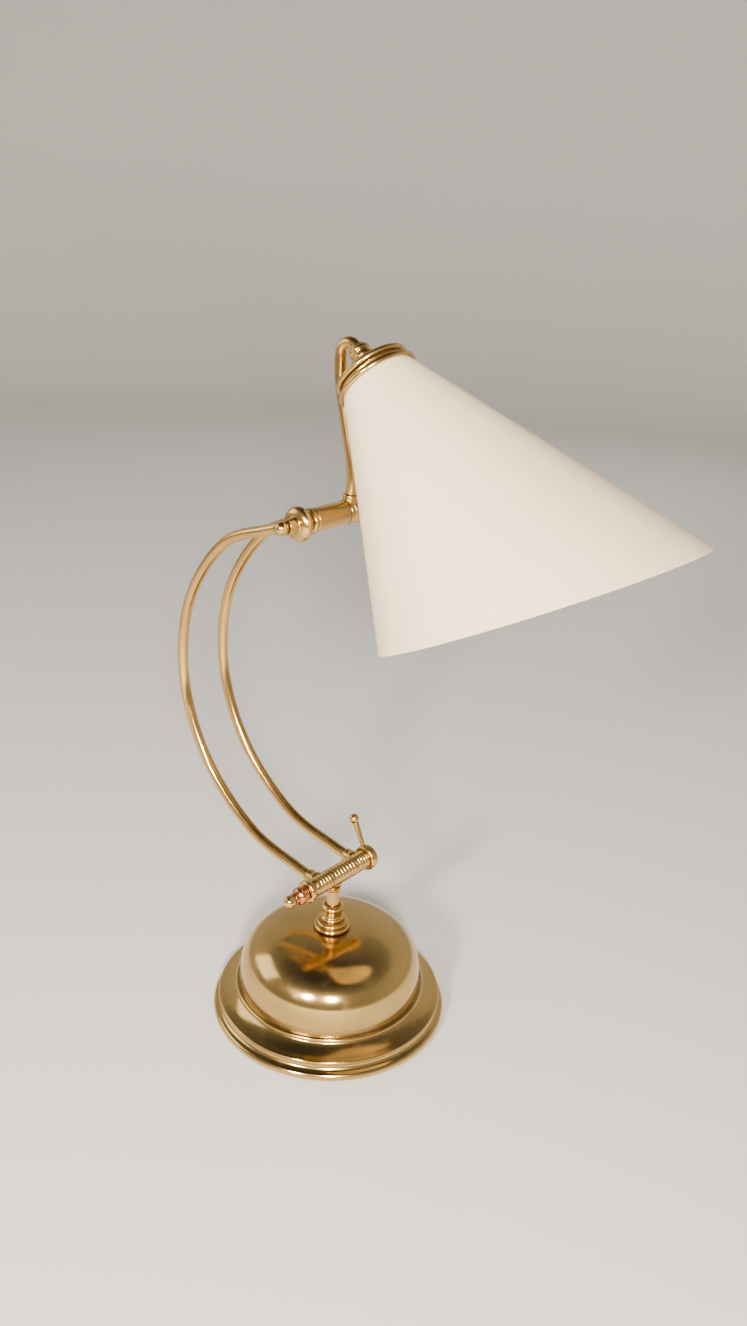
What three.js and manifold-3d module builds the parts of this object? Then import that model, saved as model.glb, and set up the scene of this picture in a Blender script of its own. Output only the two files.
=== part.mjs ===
// Swing arm desk lamp: brass dome base, two bent arm tubes between two barrels, crook and cone shade.
// Millimetres, +Z up. The origin is the middle of the felt's underside, on the base's axis.
// +X is the way the head reaches, and both barrels run along Y.
import * as THREE from 'three';
import { mergeVertices } from 'three/addons/utils/BufferGeometryUtils.js';
import Module from 'manifold-3d';

const { degToRad } = THREE.MathUtils;
const wasm = await Module();
wasm.setup();

// ---- driving dimensions ----
const GAP = 0.3; // air between neighbouring pieces
const SHEET = 1.5; // thickness of the spun brass

const FOOT_RADIUS = 90;
const FLANGE_RADIUS = 86;
const FLANGE_TOP = 15.8;
const FLANGE_RISE = 5.2; // how far the flange climbs from its edge to the dome
const DOME_RADIUS = 70;
const DOME_FOOT = 25.3;
const DOME_TOP = 71.5;
const DOME_FULLNESS = 3; // 2 is an ellipse, more is a flatter top with a rounder shoulder
const FELT_RADIUS = 83.5;
const FELT_THICKNESS = 2.4;
const PLATE_RADIUS = 85.8;
const PLATE_THICKNESS = 2;
const SCREW_CIRCLE = 72;
const GLAND_HEIGHT = 35;

const STEM_RADIUS = 4.8;
const STEM_BORE = 3.2;
const ROD_RADIUS = 3;
const LOWER_AXIS = { x: 0, z: 117 }; // the arms tilt about this line
const UPPER_AXIS = { x: -36.5, z: 384.5 }; // the head tilts about this line
const FRONT_ARM_Y = -14.5;
const BACK_ARM_Y = 26.5;
const ARM_RADIUS = 4;
const ARM_BORE = 3;
const LOWER_BARREL_RADIUS = 7.3;
const UPPER_BARREL_RADIUS = 8.6;
const DRUM_RADIUS = 12.3;
const LEVER_REACH = 31.7; // from the barrel's axis to the middle of the ball tip

const HEAD_Y = 40; // the crook and the shade stand in this plane
const HEAD_TILT = 46.6; // degrees from upright to the shade's axis
const SHADE_TOP = { x: -17.2, z: 479.5 }; // middle of the shade's top face
const SHADE_TOP_RADIUS = 25.4;
const SHADE_SLOPE = Math.tan(degToRad(23.2));
const SHADE_LENGTH = 181; // along the axis, from the top face to the mouth
const MOUTH_SLANT = 17.9; // degrees between the mouth and a square cut
const SHADE_SHEET = 1;
const SHADE_HOLE = 14.6;
const BULB_RADIUS = 30;

// ---- materials ----
const finish = (color, roughness, metalness) =>
  new THREE.MeshStandardMaterial({ color, roughness, metalness });
const BRASS = [0xb08d4f, 0.25, 1];
const COPPER = [0xb5734a, 0.3, 1];
const STEEL = [0x8d8f92, 0.4, 1];
const IRON = [0x3b3b3d, 0.8, 0.6];
const CREAM = [0xe4d8c4, 0.45, 0];
const FELT = [0x2f3a2c, 0.95, 0];
const BLACK = [0x17171a, 0.5, 0];
const CERAMIC = [0xe9e6df, 0.4, 0];
const GLASS = [0xf4f2ec, 0.15, 0];

// ---- helpers ----
const v2 = (r, h) => new THREE.Vector2(r, h);
const polar = (angle) => [Math.cos(degToRad(angle)), Math.sin(degToRad(angle))];

/** Turned piece about Y. The profile runs up the outside, from radius and height pairs. */
function turned(pairs, segments = 20) {
  return new THREE.LatheGeometry(pairs.map(([r, h]) => v2(r, h)), segments);
}

/** Turned piece about Z. */
function turnedUp(pairs, segments = 24) {
  return turned(pairs, segments).rotateX(Math.PI / 2);
}

/** Points of a round bead, or of part of one, as radius and height pairs. */
function bead(r, h, radius, from, to, steps) {
  return Array.from({ length: steps + 1 }, (_, i) => {
    const [c, s] = polar(from + ((to - from) * i) / steps);
    return [r + radius * c, h + radius * s];
  });
}

/** Closed ring with a rectangular section: the plainest washer or bush. */
const ring = (inner, outer, low, high) =>
  [[inner, low], [outer, low], [outer, high], [inner, high], [inner, low]];

function toSolid(geometry) {
  const bare = geometry.clone();
  bare.deleteAttribute('normal');
  bare.deleteAttribute('uv');
  const welded = mergeVertices(bare, 1e-4);
  return new wasm.Manifold(new wasm.Mesh({
    numProp: 3,
    vertProperties: new Float32Array(welded.attributes.position.array),
    triVerts: new Uint32Array(welded.index.array),
  }));
}

function fromSolid(solid) {
  const { vertProperties, triVerts } = solid.getMesh();
  const geometry = new THREE.BufferGeometry();
  geometry.setAttribute('position', new THREE.BufferAttribute(vertProperties, 3));
  geometry.setIndex(new THREE.BufferAttribute(triVerts, 1));
  return geometry;
}

const join = (...parts) => fromSolid(parts.map(toSolid).reduce((all, next) => all.add(next)));
const cut = (body, ...tools) =>
  fromSolid(tools.map(toSolid).reduce((rest, tool) => rest.subtract(tool), toSolid(body)));

/** Turns a piece made along +Z to point along a direction, and moves its foot to a point. */
function aim(geometry, direction, foot = new THREE.Vector3()) {
  const up = new THREE.Vector3(0, 0, 1);
  const turn = new THREE.Quaternion().setFromUnitVectors(up, direction.clone().normalize());
  return geometry.applyQuaternion(turn).translate(foot.x, foot.y, foot.z);
}

const rodAlongY = (radius, low, high, segments = 16) =>
  new THREE.CylinderGeometry(radius, radius, high - low, segments).translate(0, (low + high) / 2, 0);
const rodAlongZ = (...size) => rodAlongY(...size).rotateX(Math.PI / 2);

/** Open tube that follows a path. */
function bentTube(points, outer, bore, steps, sides) {
  const section = new THREE.Shape().absarc(0, 0, outer, 0, 2 * Math.PI, false);
  section.holes.push(new THREE.Path().absarc(0, 0, bore, 0, 2 * Math.PI, true));
  const path = new THREE.CatmullRomCurve3(points);
  const settings = { steps, extrudePath: path, curveSegments: sides / 2, bevelEnabled: false };
  return new THREE.ExtrudeGeometry(section, settings);
}

// ---- base ----
/** Radius and height pairs up the dome from its foot to the hole in its top. */
function domeCurve(radius, top, hole, steps) {
  const height = top - DOME_FOOT;
  const power = 2 / DOME_FULLNESS;
  const pairs = Array.from({ length: steps }, (_, i) => {
    const [c, s] = polar((90 * i) / steps);
    return [radius * c ** power, DOME_FOOT + height * s ** power];
  });
  return [...pairs, [hole, top]];
}

function baseShell() {
  const lip = FELT_RADIUS + 0.5;
  const flangeUnder = FLANGE_TOP - SHEET;
  const hole = STEM_RADIUS + 0.6;
  const outside = [
    [lip, 0.9],
    ...bead(FOOT_RADIUS - 3.4, 4.3, 3.4, -80, 60, 4),
    ...bead(88.3, 11.6, 4.2, 250, 150, 3),
    ...bead(FLANGE_RADIUS - 1.4, FLANGE_TOP - 1.4, 1.4, -40, 70, 2),
    [78, FLANGE_TOP + FLANGE_RISE - 3],
    [DOME_RADIUS + 3.2, FLANGE_TOP + FLANGE_RISE],
    ...bead(DOME_RADIUS + 1.2, DOME_FOOT - 2, 1.9, -40, 110, 3),
    ...domeCurve(DOME_RADIUS, DOME_TOP, hole, 10),
  ];
  const inside = [
    ...domeCurve(DOME_RADIUS - SHEET, DOME_TOP - SHEET, hole, 6).reverse(),
    [DOME_RADIUS - SHEET, flangeUnder + FLANGE_RISE + 1],
    [83, flangeUnder],
    [82.6, 11.4],
    [FOOT_RADIUS - 4.6, 7],
    [FOOT_RADIUS - 2.2, 4.8],
    [FOOT_RADIUS - 3.4, 2.4],
    [lip, 2.4],
  ];
  const shell = turnedUp([...outside, ...inside, [lip, 0.9]], 44);
  const glandHole = rodAlongZ(4, -6, 6, 12).rotateY(Math.PI / 2).translate(-DOME_RADIUS, 0, GLAND_HEIGHT);
  return cut(shell, glandHole);
}

/** Places something at each of the three screws. */
const atScrews = (make) => [30, 150, 270].map((angle) => {
  const [c, s] = polar(angle);
  return make().translate(SCREW_CIRCLE * c, SCREW_CIRCLE * s, 0);
});

const PLATE_LOW = FELT_THICKNESS + GAP;
const PLATE_HIGH = PLATE_LOW + PLATE_THICKNESS;
const SCREW_SHANK = 1.9;
const SCREW_HEAD = 3.6;
const SCREW_TOP = 11;

/** Plain disc between two heights. */
const disc = (radius, low, high) => turnedUp([[0, low], [radius, low], [radius, high], [0, high]], 44);

const baizePad = () => disc(FELT_RADIUS, 0, FELT_THICKNESS);

function basePlate() {
  const plate = disc(PLATE_RADIUS, PLATE_LOW, PLATE_HIGH);
  const countersink = () => turnedUp([
    [0, PLATE_LOW - 1], [SCREW_HEAD + GAP, PLATE_LOW - 1], [SCREW_HEAD + GAP, PLATE_LOW],
    [SCREW_SHANK + GAP, PLATE_HIGH], [SCREW_SHANK + GAP, PLATE_HIGH + 1], [0, PLATE_HIGH + 1]], 12);
  return cut(plate, ...atScrews(countersink));
}

function plateScrews() {
  const low = PLATE_LOW + 0.1;
  const screw = () => turnedUp([
    [0, low], [SCREW_HEAD, low], [SCREW_SHANK, PLATE_HIGH], [SCREW_SHANK, SCREW_TOP], [0, SCREW_TOP]], 12);
  return atScrews(screw);
}

function baseWeight() {
  const low = PLATE_HIGH + GAP;
  const weight = turnedUp([
    [16, low], [81.6, low], [81.6, 13.4], [63, 13.4], [63, 22], [16, 22], [16, low]], 36);
  return cut(weight, ...atScrews(() => rodAlongZ(SCREW_SHANK + GAP, 0, SCREW_TOP + 0.5, 12)));
}

function cableGland() {
  const outer = 5.2;
  const bush = turnedUp([
    [2.6, 64.5], [outer, 64.5], [outer, 66.5], [3.7, 66.5], [3.7, 70.4], [outer, 70.4],
    [outer, 72.2], [4.2, 73.4], [2.6, 73.4], [2.6, 64.5]], 14);
  return aim(bush, new THREE.Vector3(-1, 0, 0), new THREE.Vector3(0, 0, GLAND_HEIGHT));
}

// ---- stem ----
const FLANGE_LOW = DOME_TOP + GAP;
const COLLAR_LOW = 79.9;
const COLLAR_HIGH = 92.6;
const STEM_HOLE = STEM_RADIUS + GAP;
const STEM_TOP = LOWER_AXIS.z - 11.5;

/** Two stacked beads under the stem. */
const stemFlange = () => turnedUp([
  [STEM_HOLE, FLANGE_LOW], [12.4, FLANGE_LOW], ...bead(11.8, FLANGE_LOW + 2, 2, -60, 70, 4),
  ...bead(10.2, FLANGE_LOW + 5.6, 1.7, -60, 80, 3), [8.8, COLLAR_LOW - GAP],
  [STEM_HOLE, COLLAR_LOW - GAP], [STEM_HOLE, FLANGE_LOW]], 28);

const stemCollar = () => turnedUp([
  [STEM_HOLE, COLLAR_LOW], [8.8, COLLAR_LOW], [8.8, 81.8], [7.4, 82.8], [7.4, 88.4], [8.2, 89.2],
  [8.2, 91], [6.6, COLLAR_HIGH], [STEM_HOLE, COLLAR_HIGH], [STEM_HOLE, COLLAR_LOW]], 20);

const stemTube = () => turnedUp(ring(STEM_BORE, STEM_RADIUS, 56, STEM_TOP - GAP), 20);
const WASHER_HIGH = DOME_TOP - SHEET - 0.55;
const WASHER_LOW = WASHER_HIGH - 1.6;

const stemWasher = () => turnedUp(ring(STEM_HOLE, 8.6, WASHER_LOW, WASHER_HIGH), 20);

function stemLockNut() {
  const depth = 6;
  const corners = Array.from({ length: 6 }, (_, i) => v2(...polar(60 * i)).multiplyScalar(8));
  const hexagon = new THREE.Shape(corners);
  hexagon.holes.push(new THREE.Path().absarc(0, 0, STEM_HOLE, 0, 2 * Math.PI, true));
  const nut = new THREE.ExtrudeGeometry(hexagon, { depth, curveSegments: 8, bevelEnabled: false });
  return nut.translate(0, 0, WASHER_LOW - GAP - depth);
}

// ---- barrels ----
const ROD_HOLE = ROD_RADIUS + GAP;

/** Outside of a barrel length with turned grooves, from low to high along Y. */
function groovedSide(radius, low, high, grooves) {
  const pitch = (high - low) / (grooves + 1);
  const notch = 0.7;
  const pairs = [[radius, low]];
  for (let i = 1; i <= grooves; i += 1) {
    const h = low + pitch * i;
    pairs.push([radius, h - 0.8], [radius - notch, h - 0.4], [radius - notch, h + 0.4], [radius, h + 0.8]);
  }
  return [...pairs, [radius, high]];
}

/** A barrel length with a boss that reaches out to a tube end, and the rod's hole through it. */
function knuckle(side, low, high, boss) {
  const body = turned([[0, low], ...side, [0, high]], 20);
  const foot = new THREE.Vector3(0, boss.y, 0);
  const reach = aim(rodAlongZ(boss.radius, 0, boss.length, 16), boss.direction, foot);
  return cut(join(body, reach), rodAlongY(ROD_HOLE, low - 1, high + 1, 12));
}

const onAxis = (geometry, axis) => geometry.translate(axis.x, 0, axis.z);

// where each tube leaves its barrel
const ARM_START = new THREE.Vector3(-0.99, 0, 0.14).normalize();
const ARM_END = new THREE.Vector3(-0.94, 0, -0.342).normalize();
const HOOK_START = new THREE.Vector3(0.1, 0, 1).normalize();
const DOWN = new THREE.Vector3(0, 0, -1);
const LOWER_BOSS = 13;
const UPPER_BOSS = 16;
const HOOK_BOSS = 13;
const BOSS_RADIUS = 5.4;

// lengths along the lower barrel, front to back
const LOWER_FRONT = [-22.3, -7.2];
const LOWER_MIDDLE = [-6.9, 18.9];
const LOWER_BACK = [19.2, 33.2];
// lengths along the upper barrel, front to back
const DRUM = [-22.4, -2.6];
const BAND = [-2.3, 2.3];
const UPPER_BACK = [2.6, 34.2];
const HOOK_RING = [34.5, 46];

function stemKnuckle() {
  const side = groovedSide(LOWER_BARREL_RADIUS, ...LOWER_MIDDLE, 4);
  const boss = { radius: 5.8, length: LOWER_AXIS.z - STEM_TOP, direction: DOWN, y: 0 };
  return onAxis(knuckle(side, ...LOWER_MIDDLE, boss), LOWER_AXIS);
}

function lowerArmKnuckle([low, high], y) {
  const side = groovedSide(LOWER_BARREL_RADIUS, low, high, 2);
  const boss = { radius: BOSS_RADIUS, length: LOWER_BOSS, direction: ARM_START, y };
  return onAxis(knuckle(side, low, high, boss), LOWER_AXIS);
}

/** Round-edged wheel on the front end of the upper barrel, with a neck to each side. */
function upperDrum() {
  const [low, high] = DRUM;
  const waist = 6.2;
  const rim = bead(0, 0, 1, -90, 90, 8).map(([c, s]) => [waist + (DRUM_RADIUS - waist) * c, 4.6 * s - 10]);
  const boss = { radius: BOSS_RADIUS, length: UPPER_BOSS, direction: ARM_END, y: FRONT_ARM_Y };
  return onAxis(knuckle([[5.6, low], [5.6, -15.4], ...rim, [waist, high]], low, high, boss), UPPER_AXIS);
}

function upperBarrel() {
  const boss = { radius: BOSS_RADIUS, length: UPPER_BOSS, direction: ARM_END, y: BACK_ARM_Y };
  const side = [[UPPER_BARREL_RADIUS, UPPER_BACK[0]], [UPPER_BARREL_RADIUS, UPPER_BACK[1]]];
  return onAxis(knuckle(side, ...UPPER_BACK, boss), UPPER_AXIS);
}

function upperBand() {
  const [low, high] = BAND;
  const side = bead(6.8, (low + high) / 2, (high - low) / 2, -90, 90, 4);
  return onAxis(turned([[ROD_HOLE, low], ...side, [ROD_HOLE, high], [ROD_HOLE, low]], 24), UPPER_AXIS);
}

function hookKnuckle() {
  const [low, high] = HOOK_RING;
  const side = groovedSide(9, low, high, 2);
  const boss = { radius: BOSS_RADIUS, length: HOOK_BOSS, direction: HOOK_START, y: HEAD_Y };
  return onAxis(knuckle(side, low, high, boss), UPPER_AXIS);
}

/** Ball nut on the front end of a rod, cut flat where its open mouth faces back. */
function ballNut(mouth, axis) {
  const radius = 4.8;
  const middle = mouth - 3.2;
  const floor = middle - 1.2;
  const pairs = [...bead(0, middle, radius, -90, 41.8, 6), [ROD_HOLE, mouth], [ROD_HOLE, floor], [0, floor]];
  return onAxis(turned(pairs, 16), axis);
}

const lowerFlange = () => onAxis(turned([
  [ROD_HOLE, -30.8], [7.4, -30.8], [8.6, -29.9], [8.6, -27.6], [7, -26.4], [6.4, -25.4], [6.4, -23.6],
  [7.2, -22.6], [ROD_HOLE, -22.6], [ROD_HOLE, -30.8]], 20), LOWER_AXIS);

const lowerCollar = () => onAxis(turned([
  [ROD_HOLE, -43.3], [4.4, -43.3], [4.4, -41], ...bead(3.2, -36.6, 3.6, -65, 65, 5),
  [5.2, -32.4], [5.2, -31.1], [ROD_HOLE, -31.1], [ROD_HOLE, -43.3]], 18), LOWER_AXIS);

const lowerRod = () => onAxis(rodAlongY(ROD_RADIUS, -47.6, LOWER_BACK[1] + 4.5), LOWER_AXIS);
const upperRod = () => onAxis(rodAlongY(ROD_RADIUS, DRUM[0] - 3, HOOK_RING[1] + 4.5), UPPER_AXIS);

// ---- clamp levers: made at y = 0 with the hub's open face there, and upright ----
const LEVER_SEAT = 3.8; // middle of the hub's disc

/** Disc-shaped end nut with a blind hole for the rod. */
function leverHub() {
  const floor = 4.7;
  const whole = turned([
    [0, 0], [8.8, 0], [9.7, 0.9], [9.7, 6], [8.8, 6.9], [4, 7.4], [0, 7.5]], 24);
  return cut(whole, rodAlongY(ROD_HOLE, -1, floor, 16));
}

function leverPieces(axis, faceY, lean) {
  const upright = new THREE.Vector3(Math.sin(lean), 0, Math.cos(lean));
  const seat = new THREE.Vector3(0, LEVER_SEAT, 0);
  const socket = aim(rodAlongZ(2, 5, 11, 12), upright, seat);
  const neck = LEVER_REACH - 3.1;
  const rod = aim(turnedUp([[0, 5.3], [1.7, 5.3], [1.7, 9.4], [2.6, neck], [0, neck]], 14), upright, seat);
  const ball = bead(0, LEVER_REACH, 3.8, -52, 90, 6);
  const knob = aim(turnedUp([[0, ball[0][1]], ...ball], 18), upright, seat);
  return [cut(leverHub(), socket), rod, knob].map((piece) => onAxis(piece.translate(0, faceY, 0), axis));
}

// ---- arms ----
/** Middle line of an arm in its own plane: out from the lower barrel, round the bow and back over the top. */
function armPath(y) {
  const from = new THREE.Vector3(LOWER_AXIS.x, y, LOWER_AXIS.z);
  const to = new THREE.Vector3(UPPER_AXIS.x, y, UPPER_AXIS.z);
  const bow = [[-73, 131], [-126, 173], [-152, 233], [-145, 300], [-105, 356]];
  return [
    from.clone().addScaledVector(ARM_START, LOWER_BOSS + GAP),
    from.clone().addScaledVector(ARM_START, LOWER_BOSS + 12),
    ...bow.map(([x, z]) => new THREE.Vector3(x, y, z)),
    to.clone().addScaledVector(ARM_END, UPPER_BOSS + 12),
    to.clone().addScaledVector(ARM_END, UPPER_BOSS + GAP),
  ];
}

const armTube = (y) => bentTube(armPath(y), ARM_RADIUS, ARM_BORE, 32, 12);

// ---- head ----
const [headCos, headSin] = polar(HEAD_TILT);
const HEAD_AXIS = new THREE.Vector3(-headSin, 0, headCos);
const FERRULE_TOP = 25.6;
const HOOK_SEAT = 21.1; // the crook's end inside the ferrule, above the shade's top face

/** Middle line of the crook: up behind the shade, round the top and down into the ferrule. */
function hookPath() {
  const onHeadAxis = (s) => new THREE.Vector3(SHADE_TOP.x, HEAD_Y, SHADE_TOP.z).addScaledVector(HEAD_AXIS, s);
  const foot = new THREE.Vector3(UPPER_AXIS.x, HEAD_Y, UPPER_AXIS.z);
  const bend = 8;
  const mouth = onHeadAxis(FERRULE_TOP + 0.4);
  const middle = new THREE.Vector3(mouth.x - bend * HEAD_AXIS.z, HEAD_Y, mouth.z + bend * HEAD_AXIS.x);
  const rise = [[-36.2, 421], [-42, 444], [-47, 464], [-49.3, 478]];
  const crook = [180, 146, 113, 80, HEAD_TILT].map((angle) => {
    const [c, s] = polar(angle);
    return new THREE.Vector3(middle.x + bend * c, HEAD_Y, middle.z + bend * s);
  });
  return [
    foot.clone().addScaledVector(HOOK_START, HOOK_BOSS + GAP),
    foot.clone().addScaledVector(HOOK_START, HOOK_BOSS + 7),
    ...rise.map(([x, z]) => new THREE.Vector3(x, HEAD_Y, z)),
    ...crook,
    onHeadAxis(HOOK_SEAT),
  ];
}

const hookTube = () => bentTube(hookPath(), ARM_RADIUS, ARM_BORE, 28, 10);

// The rest of the head is made about Z, with the shade's top face at z = 0.
function capFerrule() {
  const seat = HOOK_SEAT - GAP;
  const hookHole = ARM_RADIUS + 0.4;
  return turnedUp([
    [5.2, 15.8], [8.6, 15.8], [8.6, 17.4], [6.8, 18.6], [6.8, 20.4], [7.7, 21.2], [7.7, 23], [6.6, 24.2],
    [6, FERRULE_TOP], [hookHole, FERRULE_TOP], [hookHole, seat], [3.4, seat], [3.4, 19.6],
    [5.2, 19.6], [5.2, 15.8]], 20);
}

function capShell() {
  return turnedUp([
    [23.8, 0.4], [24, 3.7], ...bead(24.6, 6.2, 2.2, -80, 80, 5),
    [22.4, 9.4], [18, 11.7], [12.6, 13.7], [8.8, 15.4], [5.4, 15.4],
    [5.4, 14.1], [12, 12.4], [21.4, 8.3], [22.4, 6.2], [22.6, 0.4], [23.8, 0.4]], 32);
}

/** Bead that caps the shade's top edge and hangs a little way down the cone. */
function capRim() {
  return turnedUp([
    [27.2, -3.1], ...bead(26.9, -1.2, 2.2, -50, 110, 6),
    [24.4, 0.9], [24.4, 0.35], [26, 0.35], [27.2, -3.1]], 36);
}

function shade() {
  const reach = SHADE_LENGTH + 55;
  const mouth = SHADE_TOP_RADIUS + reach * SHADE_SLOPE;
  const inset = SHADE_SHEET / Math.cos(Math.atan(SHADE_SLOPE));
  const innerTop = SHADE_TOP_RADIUS + SHADE_SHEET * SHADE_SLOPE - inset;
  const cone = turnedUp([
    [mouth - inset, -reach], [mouth, -reach], [SHADE_TOP_RADIUS, 0],
    [SHADE_HOLE, 0], [SHADE_HOLE, -SHADE_SHEET], [innerTop, -SHADE_SHEET], [mouth - inset, -reach]], 64);
  const size = 400;
  const below = new THREE.BoxGeometry(size, size, size).translate(0, 0, -size / 2);
  below.rotateY(degToRad(MOUTH_SLANT)).translate(0, 0, -SHADE_LENGTH);
  return cut(cone, below);
}

const lampholderNipple = () => turnedUp(ring(STEM_BORE, 4.9, 8.4, 19.3), 16);

const lampholderBody = () => turnedUp([
  [12.2, -24], [14.2, -24], [14.2, 0.4], [17.5, 0.4], [17.5, 3.6], [13.6, 8.6], [7.4, 11.4],
  [5.2, 11.4], [5.2, 10], [7, 10], [12.2, 7.2], [12.2, -24]], 24);

const lampholderRing = () => turnedUp([
  [14.5, -7], [18.4, -7], [20, -5.4], [20, -1.5], [14.5, -1.5], [14.5, -7]], 24);

const PIN_OFFSET = 4.6;
const PIN_RADIUS = 1.6;

function lampholderInsulator() {
  const block = turnedUp([[0, -2], [11.8, -2], [11.8, 5], [0, 5]], 24);
  const hole = (x) => rodAlongZ(PIN_RADIUS + GAP, -3, 6, 12).translate(x, 0, 0);
  return cut(block, hole(-PIN_OFFSET), hole(PIN_OFFSET));
}

const contactPin = (x) => turnedUp([
  [0, -6], [1, -6], [PIN_RADIUS, -5.2], [PIN_RADIUS, 6.5], [0, 6.5]], 12).translate(x, 0, 0);

const bulbCap = () => turnedUp([
  [10.2, -31], [11, -31], [11, -8], [10, -6.4], [0, -6.4], [0, -7.6], [10.2, -7.6], [10.2, -31]], 20);

/** Glass envelope, open at the top of its neck. */
function bulbGlass() {
  const middle = -84;
  const side = (thin) => [
    ...bead(0, middle, BULB_RADIUS - thin, -90, 30, 7),
    [20.5 - thin, -58], [13.5 - thin, -46], [9.9 - thin, -34], [9.9 - thin, -9]];
  return turnedUp([...side(0), ...side(0.8).reverse()], 20);
}

// ---- assembly ----
const lamp = new THREE.Group();
const head = new THREE.Group();
head.position.set(SHADE_TOP.x, HEAD_Y, SHADE_TOP.z);
head.rotation.y = -degToRad(HEAD_TILT);
lamp.add(head);

function place(group, name, geometry, look) {
  const mesh = new THREE.Mesh(geometry, finish(...look));
  mesh.name = name;
  group.add(mesh);
}

place(lamp, 'base_shell', baseShell(), BRASS);
place(lamp, 'base_weight', baseWeight(), IRON);
place(lamp, 'base_plate', basePlate(), STEEL);
plateScrews().forEach((screw, i) => place(lamp, `plate_screw_${i + 1}`, screw, STEEL));
place(lamp, 'baize_pad', baizePad(), FELT);
place(lamp, 'cable_gland', cableGland(), BLACK);
place(lamp, 'stem_flange', stemFlange(), BRASS);
place(lamp, 'stem_collar', stemCollar(), BRASS);
place(lamp, 'stem_tube', stemTube(), BRASS);
place(lamp, 'stem_washer', stemWasher(), STEEL);
place(lamp, 'stem_lock_nut', stemLockNut(), STEEL);
place(lamp, 'stem_knuckle', stemKnuckle(), BRASS);
place(lamp, 'lower_rod', lowerRod(), STEEL);
place(lamp, 'lower_flange', lowerFlange(), BRASS);
place(lamp, 'lower_collar', lowerCollar(), COPPER);
place(lamp, 'lower_ball_nut', ballNut(-43.6, LOWER_AXIS), BRASS);

place(lamp, 'arm_tube_front', armTube(FRONT_ARM_Y), BRASS);
place(lamp, 'arm_tube_back', armTube(BACK_ARM_Y), BRASS);
place(lamp, 'lower_knuckle_front', lowerArmKnuckle(LOWER_FRONT, FRONT_ARM_Y), BRASS);
place(lamp, 'lower_knuckle_back', lowerArmKnuckle(LOWER_BACK, BACK_ARM_Y), BRASS);
place(lamp, 'upper_drum', upperDrum(), BRASS);
place(lamp, 'upper_band', upperBand(), BRASS);
place(lamp, 'upper_barrel', upperBarrel(), BRASS);
place(lamp, 'upper_rod', upperRod(), STEEL);
place(lamp, 'upper_ball_nut', ballNut(DRUM[0] - GAP, UPPER_AXIS), BRASS);

const levers = {
  lower: leverPieces(LOWER_AXIS, LOWER_BACK[1] + GAP, degToRad(-28)),
  upper: leverPieces(UPPER_AXIS, HOOK_RING[1] + GAP, degToRad(-12)),
};
for (const [side, [hub, rod, knob]] of Object.entries(levers)) {
  place(lamp, `${side}_lever_hub`, hub, BRASS);
  place(lamp, `${side}_lever_rod`, rod, BRASS);
  place(lamp, `${side}_lever_knob`, knob, BRASS);
}

place(lamp, 'hook_knuckle', hookKnuckle(), BRASS);
place(lamp, 'hook_tube', hookTube(), BRASS);
place(head, 'cap_ferrule', capFerrule(), BRASS);
place(head, 'cap_shell', capShell(), BRASS);
place(head, 'cap_rim', capRim(), BRASS);
place(head, 'shade', shade(), CREAM);
place(head, 'lampholder_nipple', lampholderNipple(), BRASS);
place(head, 'lampholder_body', lampholderBody(), BRASS);
place(head, 'lampholder_ring', lampholderRing(), BLACK);
place(head, 'lampholder_insulator', lampholderInsulator(), CERAMIC);
place(head, 'contact_pin_1', contactPin(-PIN_OFFSET), BRASS);
place(head, 'contact_pin_2', contactPin(PIN_OFFSET), BRASS);
place(head, 'bulb_cap', bulbCap(), STEEL);
place(head, 'bulb_glass', bulbGlass(), GLASS);

export default lamp;
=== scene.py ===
"""Looks of the swing arm desk lamp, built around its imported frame.

Sizes are in millimetres and become metres where a mesh is made. Each turned piece is made about its own
local Z axis, so that its material can draw turning marks round that axis.
"""
import math

import bmesh
import bpy
from mathutils import Matrix, Vector


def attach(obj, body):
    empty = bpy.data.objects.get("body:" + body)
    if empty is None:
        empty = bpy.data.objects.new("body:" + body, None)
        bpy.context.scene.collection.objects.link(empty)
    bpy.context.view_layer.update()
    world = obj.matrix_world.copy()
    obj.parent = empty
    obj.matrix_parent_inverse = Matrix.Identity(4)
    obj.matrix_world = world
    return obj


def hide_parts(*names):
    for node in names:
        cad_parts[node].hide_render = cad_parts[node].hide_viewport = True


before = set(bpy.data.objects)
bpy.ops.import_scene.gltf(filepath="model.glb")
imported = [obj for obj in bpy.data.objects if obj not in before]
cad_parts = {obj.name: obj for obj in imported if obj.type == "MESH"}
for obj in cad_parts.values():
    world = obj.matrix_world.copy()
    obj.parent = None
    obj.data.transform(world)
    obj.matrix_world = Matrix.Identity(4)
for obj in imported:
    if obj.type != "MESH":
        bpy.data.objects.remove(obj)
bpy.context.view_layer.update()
MM = 0.001

# ---- camera: at the photograph's viewing angle ----
CAMERA_AT = (0.4852, -0.5461, 0.6069)
CAMERA_AZIMUTH = 39.98
CAMERA_ELEVATION = 23.27
CAMERA_ROLL = 3.132
LENS_MM = 31.22
SENSOR_MM = 36


def turn_about(axis, degrees):
    return Matrix.Rotation(math.radians(degrees), 4, axis)


def add_camera():
    """Looks along +Y at azimuth 0, and down on the lamp by its elevation."""
    data = bpy.data.cameras.new("camera")
    data.lens = LENS_MM
    data.sensor_width = SENSOR_MM
    data.clip_start = 0.01
    data.clip_end = 50
    camera = bpy.data.objects.new("camera", data)
    bpy.context.scene.collection.objects.link(camera)
    aim = turn_about("Z", CAMERA_AZIMUTH) @ turn_about("X", 90 - CAMERA_ELEVATION)
    turn = aim @ turn_about("Z", CAMERA_ROLL)
    camera.matrix_world = Matrix.Translation(CAMERA_AT) @ turn
    bpy.context.scene.camera = camera


add_camera()

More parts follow.
